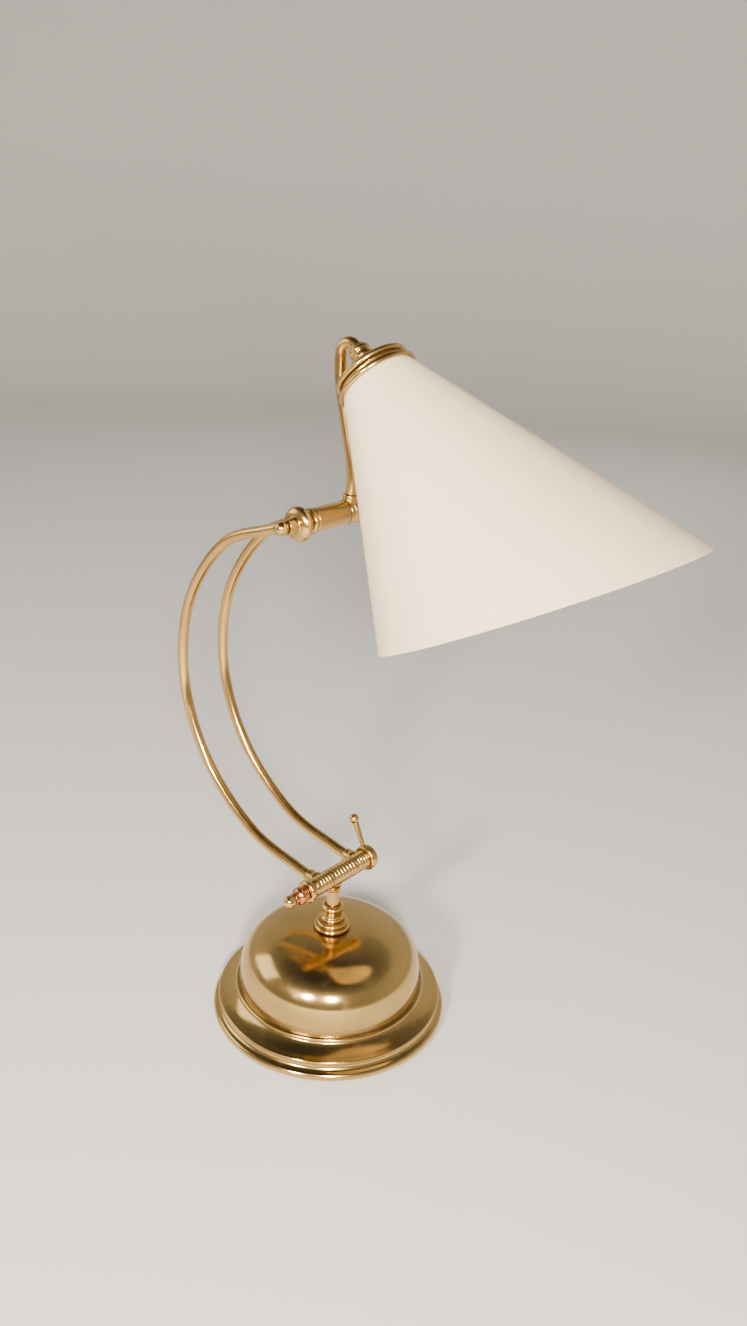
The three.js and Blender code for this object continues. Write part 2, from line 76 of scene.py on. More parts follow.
# ---- the lamp's own dimensions, the same as the CAD's ----
SHEET = 1.5
FOOT_RADIUS = 90
FLANGE_RADIUS = 86
FLANGE_TOP = 15.8
FLANGE_RISE = 5.2
DOME_RADIUS = 70
DOME_FOOT = 25.3
DOME_TOP = 71.5
DOME_FULLNESS = 3
FELT_RADIUS = 83.5
GLAND_HEIGHT = 35
STEM_RADIUS = 4.8
STEM_BORE = 3.2
ROD_RADIUS = 3
LOWER_AXIS = (0, 117)
UPPER_AXIS = (-36.5, 384.5)
FRONT_ARM_Y = -14.5
BACK_ARM_Y = 26.5
ARM_RADIUS = 4
ARM_BORE = 3
ARM_BOW = [(-73, 131), (-126, 173), (-152, 233), (-145, 300), (-105, 356)]
LOWER_BARREL_RADIUS = 7.3
UPPER_BARREL_RADIUS = 8.6
DRUM_RADIUS = 12.3
LEVER_SEAT = 3.8
LEVER_REACH = 31.7
COLLAR_LOW = 79.9
COLLAR_HIGH = 92.6

# lengths along the two barrels, each from its low Y to its high Y
LOWER_FRONT = (-22.3, -7.2)
LOWER_MIDDLE = (-6.9, 18.9)
LOWER_BACK = (19.2, 33.2)
LOWER_NUT_MOUTH = -43.6
LOWER_LEVER_FACE = 33.5
LOWER_LEVER_LEAN = -28
DRUM_LENGTH = (-22.4, -2.6)
UPPER_BACK = (2.6, 34.2)
HOOK_RING = (34.5, 46)
UPPER_NUT_MOUTH = -22.7
UPPER_LEVER_FACE = 46.3
UPPER_LEVER_LEAN = -12
HEAD_Y = 40
HEAD_TILT = 46.6
SHADE_TOP = (-17.2, 479.5)
SHADE_TOP_RADIUS = 25.4
SHADE_SLOPE = math.tan(math.radians(23.2))
SHADE_LENGTH = 181
MOUTH_SLANT = 17.9
SHADE_HOLE = 14.6
SHADE_WALL = 1.0
FERRULE_TOP = 25.6
HOOK_SEAT = 21.1
HOOK_BEND = 8
HOOK_RISE = [(-36.2, 421), (-42, 444), (-47, 464), (-49.3, 478)]
BULB_RADIUS = 30
BULB_MIDDLE = -84
BULB_WALL = 0.8

# ---- frames that pieces are made in ----
UPRIGHT = Matrix.Identity(4)


def along_y(axis):
    """Local Z runs along the row's +Y, on a barrel's axis."""
    x, z = axis
    return Matrix.Translation((x * MM, 0, z * MM)) @ turn_about("X", -90)


def pointing(foot, direction):
    """Local Z points along a direction, from a foot in millimetres."""
    turn = Vector((0, 0, 1)).rotation_difference(Vector(direction)).to_matrix().to_4x4()
    return Matrix.Translation(Vector(foot) * MM) @ turn


LOWER = along_y(LOWER_AXIS)
UPPER = along_y(UPPER_AXIS)
HEAD_ORIGIN = (SHADE_TOP[0], HEAD_Y, SHADE_TOP[1])
HEAD = Matrix.Translation(Vector(HEAD_ORIGIN) * MM) @ turn_about("Y", -HEAD_TILT)


# ---- profiles ----
def bead(r, h, radius, start, end, steps=8):
    """Points of a round bead, or of part of one, as radius and height pairs."""
    angles = [math.radians(start + (end - start) * i / steps) for i in range(steps + 1)]
    return [(r + radius * math.cos(a), h + radius * math.sin(a)) for a in angles]


def soften(points, radius, closed=False, steps=3):
    """Rounds a profile's corners, and leaves stretches that are already smooth alone."""
    count = len(points)
    result = []
    for i, point in enumerate(points):
        if not closed and i in (0, count - 1):
            result.append(point)
            continue
        here = Vector(point)
        before = Vector(points[i - 1]) - here
        after = Vector(points[(i + 1) % count]) - here
        if math.pi - before.angle(after) < math.radians(24):
            result.append(point)
            continue
        reach = min(radius, before.length * 0.45, after.length * 0.45)
        a = here + before.normalized() * reach
        b = here + after.normalized() * reach
        for k in range(steps + 1):
            t = k / steps
            result.append(tuple(a * (1 - t) ** 2 + here * (2 * t * (1 - t)) + b * t ** 2))
    return result


def grooved(radius, low, high, grooves, depth=0.7, width=1.5):
    """Outside of a barrel length with turned grooves, from low to high."""
    pitch = (high - low) / (grooves + 1)
    points = [(radius, low)]
    for i in range(1, grooves + 1):
        h = low + pitch * i
        points += [(radius, h - width / 2), (radius - depth, h - width / 4)]
        points += [(radius - depth, h + width / 4), (radius, h + width / 2)]
    return points + [(radius, high)]


# ---- meshes ----
def finish_mesh(name, mesh_data, matrix, material, sharp=38):
    """Makes an object from a bmesh built in metres, smooth except along sharp edges."""
    bmesh.ops.remove_doubles(mesh_data, verts=mesh_data.verts, dist=1e-7)
    bmesh.ops.recalc_face_normals(mesh_data, faces=mesh_data.faces)
    mesh = bpy.data.meshes.new(name)
    mesh_data.to_mesh(mesh)
    mesh_data.free()
    mesh.shade_smooth()
    mesh.set_sharp_from_angle(angle=math.radians(sharp))
    obj = bpy.data.objects.new(name, mesh)
    bpy.context.scene.collection.objects.link(obj)
    obj.matrix_world = matrix
    if material:
        mesh.materials.append(material)
    return obj


def lathe_mesh(points, segments, closed):
    """Spins a profile of radius and height pairs about Z. An open profile starts and ends on the axis."""
    bm = bmesh.new()
    rings = []
    for r, h in points:
        if r < 1e-6:
            rings.append([bm.verts.new((0, 0, h * MM))] * segments)
            continue
        turns = [2 * math.pi * i / segments for i in range(segments)]
        rings.append([bm.verts.new((r * MM * math.cos(a), r * MM * math.sin(a), h * MM)) for a in turns])
    pairs = list(zip(rings, rings[1:] + rings[:1])) if closed else list(zip(rings, rings[1:]))
    for low, high in pairs:
        for i in range(segments):
            j = (i + 1) % segments
            corners = list(dict.fromkeys([low[i], low[j], high[j], high[i]]))
            if len(corners) > 2:
                bm.faces.new(corners)
    return bm


def lathe(name, points, matrix, material, closed=False, segments=72, soft=0.35):
    rounded = soften(points, soft, closed)
    return finish_mesh(name, lathe_mesh(rounded, segments, closed), matrix, material)


def tube_mesh(points, outer, bore, sides=28):
    """Open tube with a wall, swept along points that lie in one XZ plane."""
    bm = bmesh.new()
    across = Vector((0, 1, 0))
    loops = []
    for i, point in enumerate(points):
        ahead = points[min(i + 1, len(points) - 1)] - points[max(i - 1, 0)]
        side = ahead.normalized().cross(across)
        angles = [2 * math.pi * k / sides for k in range(sides)]
        arms = [side * math.cos(a) + across * math.sin(a) for a in angles]
        loops.append([
            [bm.verts.new((point + arm * radius) * MM) for arm in arms]
            for radius in (outer, bore)
        ])
    for here, there in zip(loops, loops[1:]):
        for skin in (0, 1):
            for k in range(sides):
                j = (k + 1) % sides
                bm.faces.new([here[skin][k], here[skin][j], there[skin][j], there[skin][k]])
    for end in (loops[0], loops[-1]):
        for k in range(sides):
            j = (k + 1) % sides
            bm.faces.new([end[0][k], end[0][j], end[1][j], end[1][k]])
    return bm


def smooth_path(points, steps):
    """Centripetal Catmull-Rom curve through points, with evenly shared steps."""
    padded = [2 * points[0] - points[1]] + points + [2 * points[-1] - points[-2]]
    lengths = [(b - a).length for a, b in zip(points, points[1:])]
    result = []
    for n, length in enumerate(lengths):
        p0, p1, p2, p3 = padded[n:n + 4]
        knots = [0]
        for a, b in ((p0, p1), (p1, p2), (p2, p3)):
            knots.append(knots[-1] + math.sqrt((b - a).length))
        t0, t1, t2, t3 = knots
        count = max(2, round(steps * length / sum(lengths)))
        for i in range(count):
            t = t1 + (t2 - t1) * i / count
            a1 = p0 * ((t1 - t) / (t1 - t0)) + p1 * ((t - t0) / (t1 - t0))
            a2 = p1 * ((t2 - t) / (t2 - t1)) + p2 * ((t - t1) / (t2 - t1))
            a3 = p2 * ((t3 - t) / (t3 - t2)) + p3 * ((t - t2) / (t3 - t2))
            b1 = a1 * ((t2 - t) / (t2 - t0)) + a2 * ((t - t0) / (t2 - t0))
            b2 = a2 * ((t3 - t) / (t3 - t1)) + a3 * ((t - t1) / (t3 - t1))
            result.append(b1 * ((t2 - t) / (t2 - t1)) + b2 * ((t - t1) / (t2 - t1)))
    return result + [points[-1]]


def tube(name, points, steps, material):
    return finish_mesh(name, tube_mesh(smooth_path(points, steps), ARM_RADIUS, ARM_BORE), UPRIGHT, material)


def combine(obj, tools, operation):
    """Joins or cuts with other objects, which are used up, and keeps the result as a plain mesh."""
    for tool in tools:
        step = obj.modifiers.new("boolean", "BOOLEAN")
        step.operation = operation
        step.solver = "EXACT"
        step.object = tool
    bpy.context.view_layer.update()
    result = bpy.data.meshes.new_from_object(obj.evaluated_get(bpy.context.evaluated_depsgraph_get()))
    obj.modifiers.clear()
    obj.data = result
    for tool in tools:
        bpy.data.objects.remove(tool)
    result.shade_smooth()
    result.set_sharp_from_angle(angle=math.radians(30))
    return obj


# ---- materials ----
class Nodes:
    """Small helper that builds a material's node tree."""

    def __init__(self, name):
        self.material = bpy.data.materials.new(name)
        self.material.use_nodes = True
        self.tree = self.material.node_tree
        self.shader = self.tree.nodes["Principled BSDF"]

    def new(self, kind, **inputs):
        node = self.tree.nodes.new(kind)
        for key, value in inputs.items():
            socket = node.inputs[key.replace("_", " ")]
            if isinstance(value, bpy.types.NodeSocket):
                self.tree.links.new(value, socket)
            else:
                socket.default_value = value
        return node

    def link(self, source, target):
        self.tree.links.new(source, target)

    def math(self, operation, a, b=0.0):
        node = self.tree.nodes.new("ShaderNodeMath")
        node.operation = operation
        for socket, value in zip(node.inputs, (a, b)):
            if isinstance(value, bpy.types.NodeSocket):
                self.tree.links.new(value, socket)
            else:
                socket.default_value = value
        return node.outputs[0]

    def place(self):
        return self.new("ShaderNodeTexCoord").outputs["Object"]

    def noise(self, vector, scale, detail=4.0, roughness=0.55):
        node = self.new("ShaderNodeTexNoise", Vector=vector, Scale=scale, Detail=detail, Roughness=roughness)
        return node.outputs["Fac"]

    def ramp(self, factor, low, high):
        """Spreads a factor's range from low to high over 0 to 1."""
        node = self.new("ShaderNodeMapRange", Value=factor)
        node.interpolation_type = "SMOOTHSTEP"
        node.inputs["From Min"].default_value = low
        node.inputs["From Max"].default_value = high
        return node.outputs["Result"]

    def mix(self, factor, a, b):
        node = self.tree.nodes.new("ShaderNodeMix")
        node.data_type = "RGBA"
        for socket, value in ((node.inputs[0], factor), (node.inputs[6], a), (node.inputs[7], b)):
            if isinstance(value, bpy.types.NodeSocket):
                self.tree.links.new(value, socket)
            else:
                socket.default_value = value if isinstance(value, float) else (*value, 1)
        return node.outputs[2]

    def stretched(self, vector, scale):
        node = self.new("ShaderNodeVectorMath")
        node.operation = "MULTIPLY"
        self.link(vector, node.inputs[0])
        node.inputs[1].default_value = scale
        return node.outputs[0]

    def turned(self, vector):
        """Vector that is the same all round the local Z axis: distance from it, and height."""
        parts = self.new("ShaderNodeSeparateXYZ", Vector=vector).outputs
        x_squared = self.math("MULTIPLY", parts[0], parts[0])
        y_squared = self.math("MULTIPLY", parts[1], parts[1])
        distance = self.math("SQRT", self.math("ADD", x_squared, y_squared))
        return self.new("ShaderNodeCombineXYZ", X=distance, Y=parts[2]).outputs[0]

    def bump(self, height, strength, distance):
        node = self.new("ShaderNodeBump", Height=height, Strength=strength, Distance=distance)
        self.link(node.outputs["Normal"], self.shader.inputs["Normal"])

    def settle(self, **values):
        for key, value in values.items():
            self.shader.inputs[key.replace("_", " ")].default_value = value
        return self.material


def brass(name, clean, aged_and_shaded, polish=0.16, lathe_marks=0.35, tarnish=0.5):
    """Polished brass: turning marks round its own axis, patches of tarnish, painted shade in creases and
    joins, smudges and fine scratches.
    """
    n = Nodes(name)
    place = n.place()
    patches = n.ramp(n.noise(place, 22, 7, 0.62), 0.42, 0.78)
    specks = n.ramp(n.noise(place, 420, 4, 0.7), 0.60, 0.78)
    # Ambient occlusion darkens creases, grooves and joins between parts toward the aged colour: painted
    # shade, added to the tarnish patches.
    crease = n.new("ShaderNodeAmbientOcclusion", Distance=0.0035)
    crease.samples = 6
    shaded = n.ramp(crease.outputs["AO"], 0.95, 0.35)
    age = n.math("ADD", n.math("MULTIPLY", patches, tarnish), n.math("MULTIPLY", specks, 0.25))
    tarnish_and_shade = n.math("MINIMUM", n.math("ADD", age, n.math("MULTIPLY", shaded, 0.75)), 1.0)
    n.link(n.mix(tarnish_and_shade, clean, aged_and_shaded), n.shader.inputs["Base Color"])
    rings = n.noise(n.turned(place), 2600, 3, 0.6)
    scratches = n.noise(n.stretched(place, (900, 900, 140)), 1.0, 3, 0.5)
    smudges = n.ramp(n.noise(place, 60, 5, 0.55), 0.50, 0.72)
    rough = n.math("ADD", polish, n.math("MULTIPLY", smudges, 0.10))
    rough = n.math("ADD", rough, n.math("MULTIPLY", tarnish_and_shade, 0.14))
    rough = n.math("ADD", rough, n.math("MULTIPLY", rings, 0.05))
    n.link(rough, n.shader.inputs["Roughness"])
    height = n.math("ADD", n.math("MULTIPLY", rings, lathe_marks), n.math("MULTIPLY", scratches, 0.25))
    n.bump(height, 0.22, 0.00012)
    return n.settle(Metallic=1.0)


def painted(name, colour, shade_colour, rough=0.38):
    """Satin stove enamel: slight orange peel, faint dust and a few rougher rubs."""
    n = Nodes(name)
    place = n.place()
    clouds = n.ramp(n.noise(place, 9, 5, 0.6), 0.30, 0.75)
    specks = n.ramp(n.noise(place, 900, 2, 0.5), 0.74, 0.80)
    grime = n.math("ADD", n.math("MULTIPLY", clouds, 0.45), n.math("MULTIPLY", specks, 0.35))
    n.link(n.mix(grime, colour, shade_colour), n.shader.inputs["Base Color"])
    rubs = n.ramp(n.noise(n.stretched(place, (30, 30, 90)), 1.0, 6, 0.6), 0.48, 0.70)
    n.link(n.math("ADD", rough, n.math("MULTIPLY", rubs, 0.10)), n.shader.inputs["Roughness"])
    peel = n.math("ADD", n.noise(place, 650, 2, 0.5), n.math("MULTIPLY", n.noise(place, 90, 2, 0.5), 1.6))
    n.bump(peel, 0.10, 0.0002)
    return n.settle(Coat_Weight=0.12, Coat_Roughness=0.3)


def plain(name, colour, other, rough, grain, metallic=0.0, bump=0.2, **extra):
    """Everyday surface: two close colours in a fine grain, with matching roughness and bump."""
    n = Nodes(name)
    place = n.place()
    fine = n.noise(place, grain, 5, 0.6)
    broad = n.noise(place, grain / 14, 4, 0.6)
    blend = n.math("MULTIPLY", n.math("ADD", fine, broad), 0.5)
    n.link(n.mix(n.ramp(blend, 0.35, 0.65), colour, other), n.shader.inputs["Base Color"])
    n.link(n.math("ADD", rough - 0.08, n.math("MULTIPLY", broad, 0.16)), n.shader.inputs["Roughness"])
    n.bump(fine, bump, 0.0004)
    return n.settle(Metallic=metallic, **extra)


def fibres(name, colour, other):
    """Felt: short crossed fibres with a soft sheen."""
    n = Nodes(name)
    place = n.place()
    one = n.noise(n.stretched(place, (2600, 500, 900)), 1.0, 4, 0.6)
    two = n.noise(n.stretched(place, (500, 2600, 900)), 1.0, 4, 0.6)
    pile = n.math("MULTIPLY", n.math("ADD", one, two), 0.5)
    n.link(n.mix(n.ramp(pile, 0.38, 0.62), colour, other), n.shader.inputs["Base Color"])
    n.bump(pile, 0.7, 0.0006)
    return n.settle(Roughness=0.95, Sheen_Weight=0.35, Sheen_Roughness=0.5)


GOLD = brass("polished_brass", (0.66, 0.43, 0.145), (0.28, 0.165, 0.05), polish=0.14)
SPUN = brass("spun_brass", (0.57, 0.385, 0.135), (0.27, 0.175, 0.06),
             polish=0.11, lathe_marks=0.6, tarnish=0.42)
DRAWN = brass("drawn_brass", (0.66, 0.415, 0.135), (0.33, 0.185, 0.055),
              polish=0.13, lathe_marks=0.15, tarnish=0.55)
COPPER = brass("coppery_brass", (0.66, 0.27, 0.12), (0.30, 0.11, 0.045))
ENAMEL = painted("ivory_enamel", (0.93, 0.77, 0.53), (0.86, 0.69, 0.46))
STEEL = plain("zinc_steel", (0.60, 0.61, 0.62), (0.48, 0.49, 0.50), 0.38, 700, metallic=1.0)
IRON = plain("cast_iron", (0.060, 0.058, 0.056), (0.030, 0.029, 0.028), 0.75, 260, metallic=0.4, bump=0.8)
BAIZE = fibres("green_baize", (0.020, 0.045, 0.022), (0.045, 0.080, 0.042))
RUBBER = plain("black_rubber", (0.018, 0.018, 0.019), (0.030, 0.029, 0.028), 0.62, 500)
BAKELITE = plain("black_bakelite", (0.020, 0.016, 0.014), (0.034, 0.026, 0.021), 0.28, 160, bump=0.08)
PORCELAIN = plain("porcelain", (0.80, 0.78, 0.73), (0.72, 0.70, 0.64), 0.22, 300, bump=0.06)
BULB_METAL = plain("bulb_aluminium", (0.78, 0.78, 0.79), (0.66, 0.66, 0.68), 0.34, 600, metallic=1.0)
PEARL = plain("pearl_glass", (0.88, 0.87, 0.84), (0.80, 0.79, 0.75), 0.24, 220, bump=0.05,
              Subsurface_Weight=0.35, Coat_Weight=0.4, Coat_Roughness=0.12)


def mount(obj, body, slot, *nodes):
    """Hands a piece to its body, for the CAD nodes it stands for."""
    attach(obj, body)
    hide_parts(*nodes)
    return obj


BRASS_SLOT = "polished_brass"


# ---- base ----
def dome_curve(radius, top, hole, steps):
    power = 2 / DOME_FULLNESS
    points = []
    for i in range(steps):
        a = math.radians(90 * i / steps)
        height = DOME_FOOT + (top - DOME_FOOT) * math.sin(a) ** power
        points.append((radius * math.cos(a) ** power, height))
    return points + [(hole, top)]


def base_shell():
    lip = FELT_RADIUS + 0.5
    hole = STEM_RADIUS + 0.6
    outside = [
        (lip, 0.9),
        *bead(FOOT_RADIUS - 3.4, 4.3, 3.4, -80, 62, 14),
        *bead(88.3, 11.6, 4.2, 248, 152, 12),
        *bead(FLANGE_RADIUS - 1.4, FLANGE_TOP - 1.4, 1.4, -40, 76, 8),
        (82, 16.4), (80, 17.1), (78, 18), (75.6, 19.4), (DOME_RADIUS + 3.2, FLANGE_TOP + FLANGE_RISE),
        *bead(DOME_RADIUS + 1.2, DOME_FOOT - 2, 1.9, -50, 115, 12),
        *dome_curve(DOME_RADIUS, DOME_TOP, hole, 60),
    ]
    inside = [
        *reversed(dome_curve(DOME_RADIUS - SHEET, DOME_TOP - SHEET, hole, 30)),
        (DOME_RADIUS - SHEET, FLANGE_TOP - SHEET + FLANGE_RISE + 1),
        (83, FLANGE_TOP - SHEET),
        (82.6, 11.4),
        (FOOT_RADIUS - 4.6, 7),
        (FOOT_RADIUS - 2.2, 4.8),
        (FOOT_RADIUS - 3.4, 2.4),
        (lip, 2.4),
    ]
    shell = lathe("shell", outside + inside, UPRIGHT, SPUN, closed=True, segments=192, soft=0.3)
    hole_at = pointing((-DOME_RADIUS - 6, 0, GLAND_HEIGHT), (1, 0, 0))
    drill = lathe("drill", [(0, 0), (4, 0), (4, 12), (0, 12)], hole_at, None, segments=32, soft=0)
    combine(shell, [drill], "DIFFERENCE")
    mount(shell, "base", BRASS_SLOT, "base_shell")


def cable_gland():
    points = [
        (2.6, 64.5), (5.2, 64.5), (5.2, 66.5), (3.7, 66.5), (3.7, 70.4), (5.2, 70.4),
        (5.2, 72.2), (4.2, 73.4), (2.6, 73.4),
    ]
    gland = lathe("gland", points, pointing((0, 0, GLAND_HEIGHT), (-1, 0, 0)), RUBBER, True, 48, 0.6)
    mount(gland, "base", "black_rubber", "cable_gland")


def stem_foot():
    low = DOME_TOP + 0.3
    hole = STEM_RADIUS + 0.3
    flange = [
        (hole, low), (12.4, low),
        *bead(11.8, low + 2, 2, -60, 70, 12),
        *bead(10.2, low + 5.6, 1.7, -60, 80, 12),
        (8.8, COLLAR_LOW - 0.3), (hole, COLLAR_LOW - 0.3),
    ]
    mount(lathe("stem_seat", flange, UPRIGHT, GOLD, True, 96), "base", BRASS_SLOT, "stem_flange")
    collar = [
        (hole, COLLAR_LOW), (8.8, COLLAR_LOW), (8.8, 81.8), (7.4, 82.8), (7.4, 88.4), (8.2, 89.2),
        (8.2, 91), (6.6, COLLAR_HIGH), (hole, COLLAR_HIGH),
    ]
    mount(lathe("stem_ring", collar, UPRIGHT, GOLD, True, 96, 0.5), "base", BRASS_SLOT, "stem_collar")


# ---- barrels ----
ARM_START = Vector((-0.99, 0, 0.14)).normalized()
ARM_END = Vector((-0.94, 0, -0.342)).normalized()
HOOK_START = Vector((0.1, 0, 1)).normalized()
LOWER_BOSS = 13
UPPER_BOSS = 16
HOOK_BOSS = 13
BOSS_RADIUS = 5.4
ROD_HOLE = ROD_RADIUS + 0.3


def knuckle(name, side, low, high, frame_at, axis, y, direction, length, radius=BOSS_RADIUS, flare=1.6):
    """Barrel length with a flared socket that reaches out to a tube's end."""
    profile = [(ROD_HOLE, low), *side, (ROD_HOLE, high)]
    body = lathe(name, profile, frame_at, GOLD, True, 72, 0.4)
    inner = 4
    socket = [
        (0, inner), (radius + flare, inner), (radius + flare, length - 6.6),
        (radius + flare * 0.35, length - 5), (radius, length - 4), (radius, length - 0.7),
        (radius - 0.7, length), (0, length),
    ]
    reach = lathe("reach", socket, pointing((axis[0], y, axis[1]), direction), None, segments=48, soft=0.8)
    bore = [(0, low - 1), (ROD_HOLE, low - 1), (ROD_HOLE, high + 1), (0, high + 1)]
    drill = lathe("drill", bore, frame_at, None, segments=72, soft=0)
    combine(body, [reach], "UNION")
    combine(body, [drill], "DIFFERENCE")
    return body


def lower_barrel():
    low, high = LOWER_MIDDLE
    side = grooved(LOWER_BARREL_RADIUS, low, high, 7, 0.6, 1.3)
    stem_top = 11.5
    middle = knuckle("barrel_middle", side, low, high, LOWER, LOWER_AXIS, 0, (0, 0, -1), stem_top, 5.8, 0.9)
    mount(middle, "stem", BRASS_SLOT, "stem_knuckle")
    for end, (low, high), y in (("front", LOWER_FRONT, FRONT_ARM_Y), ("back", LOWER_BACK, BACK_ARM_Y)):
        side = grooved(LOWER_BARREL_RADIUS, low, high, 4, 0.6, 1.3)
        piece = knuckle(
            f"barrel_{end}", side, low, high, LOWER, LOWER_AXIS, y, ARM_START, LOWER_BOSS, flare=1.2,
        )
        mount(piece, "arm", BRASS_SLOT, f"lower_knuckle_{end}")
    flange = [
        (ROD_HOLE, -30.8), (7.4, -30.8), (8.6, -29.9), (8.6, -27.6), (7, -26.4), (6.4, -25.4), (6.4, -23.6),
        (7.2, -22.6), (ROD_HOLE, -22.6),
    ]
    mount(lathe("front_flange", flange, LOWER, GOLD, True, 72, 0.5), "stem", BRASS_SLOT, "lower_flange")
    collar = [
        (ROD_HOLE, -43.3), (4.4, -43.3), (4.4, -41), *bead(3.2, -36.6, 3.6, -65, 65, 14), (5.2, -32.4),
        (5.2, -31.1), (ROD_HOLE, -31.1),
    ]
    turned_collar = lathe("front_collar", collar, LOWER, COPPER, True, 64, 0.5)
    mount(turned_collar, "stem", "coppery_brass", "lower_collar")
    tube_points = [(STEM_BORE, 56), (STEM_RADIUS, 56), (STEM_RADIUS, 105.2), (STEM_BORE, 105.2)]
    mount(lathe("stem", tube_points, UPRIGHT, DRAWN, True, 64, 0.2), "stem", BRASS_SLOT, "stem_tube")


def ball_nut(name, mouth, frame_at, body, node):
    radius = 4.8
    middle = mouth - 3.2
    floor = middle - 1.2
    points = [*bead(0, middle, radius, -90, 41.8, 18), (ROD_HOLE, mouth), (ROD_HOLE, floor), (0, floor)]
    mount(lathe(name, points, frame_at, GOLD, False, 64, 0.25), body, BRASS_SLOT, node)


def upper_barrel():
    low, high = DRUM_LENGTH
    waist = 6.2
    rim = [(waist + (DRUM_RADIUS - waist) * c, 4.6 * h - 10) for c, h in bead(0, 0, 1, -90, 90, 24)]
    side = [(5.6, low), (5.6, -15.4), *rim, (waist, high)]
    drum = knuckle("drum", side, low, high, UPPER, UPPER_AXIS, FRONT_ARM_Y, ARM_END, UPPER_BOSS, flare=0.8)
    mount(drum, "arm", BRASS_SLOT, "upper_drum")
    band = [(ROD_HOLE, -2.3), *bead(6.8, 0, 2.3, -90, 90, 14), (ROD_HOLE, 2.3)]
    mount(lathe("band", band, UPPER, GOLD, True, 72, 0.2), "arm", BRASS_SLOT, "upper_band")
    low, high = UPPER_BACK
    radius = UPPER_BARREL_RADIUS
    side = [(radius - 0.6, low), (radius, low + 0.8), (radius, high - 0.6), (radius - 0.4, high)]
    piece = knuckle("top_barrel", side, low, high, UPPER, UPPER_AXIS, BACK_ARM_Y, ARM_END, UPPER_BOSS)
    mount(piece, "arm", BRASS_SLOT, "upper_barrel")
    low, high = HOOK_RING
    side = grooved(9, low, high, 2, 0.7, 1.6)
    ring = knuckle(
        "crook_socket", side, low, high, UPPER, UPPER_AXIS, HEAD_Y, HOOK_START, HOOK_BOSS, flare=0.1,
    )
    mount(ring, "head", BRASS_SLOT, "hook_knuckle")


def lever(side, axis, frame_at, face_y, lean, body):
    """Clamp lever: a disc-shaped end nut, a tapered rod screwed into it, and a ball tip."""
    floor = 4.7
    points = [
        (0, floor), (ROD_HOLE, floor), (ROD_HOLE, 0), (8.8, 0), (9.7, 0.9), (9.7, 6), (8.8, 6.9),
        (4, 7.4), (0, 7.5),
    ]
    local = frame_at @ Matrix.Translation((0, 0, face_y * MM))
    hub = lathe(f"{side}_hub", points, local, GOLD, False, 72, 0.6)
    angle = math.radians(lean)
    upright = Vector((math.sin(angle), 0, math.cos(angle)))
    along = pointing((axis[0], face_y + LEVER_SEAT, axis[1]), upright)
    drill = lathe("drill", [(0, 5), (2, 5), (2, 11), (0, 11)], along, None, segments=32, soft=0)
    combine(hub, [drill], "DIFFERENCE")
    mount(hub, body, BRASS_SLOT, f"{side}_lever_hub")
    neck = LEVER_REACH - 3.1
    rod_points = [(0, 5.3), (1.7, 5.3), (1.7, 9.4), (1.9, 15), (2.6, neck), (0, neck)]
    mount(lathe(f"{side}_rod", rod_points, along, GOLD, False, 40), body, BRASS_SLOT, f"{side}_lever_rod")
    ball = bead(0, LEVER_REACH, 3.8, -52, 90, 16)
    tip = lathe(f"{side}_tip", [(0, ball[0][1]), *ball], along, GOLD, False, 48, 0.3)
    mount(tip, body, BRASS_SLOT, f"{side}_lever_knob")


# ---- arms ----
def arm(name, y, node):
    start = Vector((LOWER_AXIS[0], y, LOWER_AXIS[1]))
    end = Vector((UPPER_AXIS[0], y, UPPER_AXIS[1]))
    points = [start + ARM_START * (LOWER_BOSS + 0.3), start + ARM_START * (LOWER_BOSS + 12)]
    points += [Vector((x, y, z)) for x, z in ARM_BOW]
    points += [end + ARM_END * (UPPER_BOSS + 12), end + ARM_END * (UPPER_BOSS + 0.3)]
    mount(tube(name, points, 180, DRAWN), "arm", BRASS_SLOT, node)


# ---- head ----
def crook():
    tilt = math.radians(HEAD_TILT)
    up = Vector((-math.sin(tilt), 0, math.cos(tilt)))
    foot = Vector((UPPER_AXIS[0], HEAD_Y, UPPER_AXIS[1]))
    mouth = Vector(HEAD_ORIGIN) + up * (FERRULE_TOP + 0.4)
    middle = mouth + Vector((-HOOK_BEND * up.z, 0, HOOK_BEND * up.x))
    points = [foot + HOOK_START * (HOOK_BOSS + 0.3), foot + HOOK_START * (HOOK_BOSS + 7)]
    points += [Vector((x, HEAD_Y, z)) for x, z in HOOK_RISE]
    for turn in (180, 146, 113, 80, HEAD_TILT):
        a = math.radians(turn)
        points.append(middle + Vector((HOOK_BEND * math.cos(a), 0, HOOK_BEND * math.sin(a))))
    points.append(Vector(HEAD_ORIGIN) + up * HOOK_SEAT)
    mount(tube("crook", points, 150, DRAWN), "head", BRASS_SLOT, "hook_tube")


